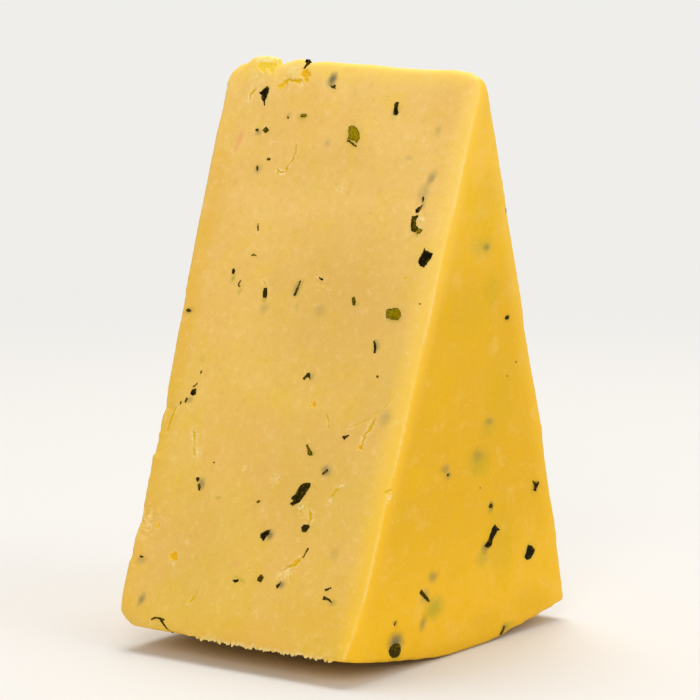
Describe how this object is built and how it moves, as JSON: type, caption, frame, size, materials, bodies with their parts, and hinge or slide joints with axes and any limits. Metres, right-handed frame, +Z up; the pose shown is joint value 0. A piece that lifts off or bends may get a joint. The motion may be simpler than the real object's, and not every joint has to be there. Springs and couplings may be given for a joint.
{
  "type": "double gloucester cheese wedge",
  "caption": "Tall wedge of orange-yellow hard cheese with chopped chives, a sector of a round wheel that stands upright on its curved rind with the thin edge on top.",
  "frame": {"origin": "the middle of the foot, on the surface that the wedge stands on", "axes": "+Z up, the longest extent, from the rind to the thin edge at the wheel's axis; +X along the wheel's axis, to the end face that the usual view shows; +Y to the back cut"},
  "size_m": [0.064, 0.078, 0.1192],
  "materials": {
    "cheese": "firm waxy cheese, softly translucent, satin",
    "chives": "moist dark green chopped herb"
  },
  "bodies": {
    "root": {"cheese_wedge": "cheese"}
  },
  "joints": []
}
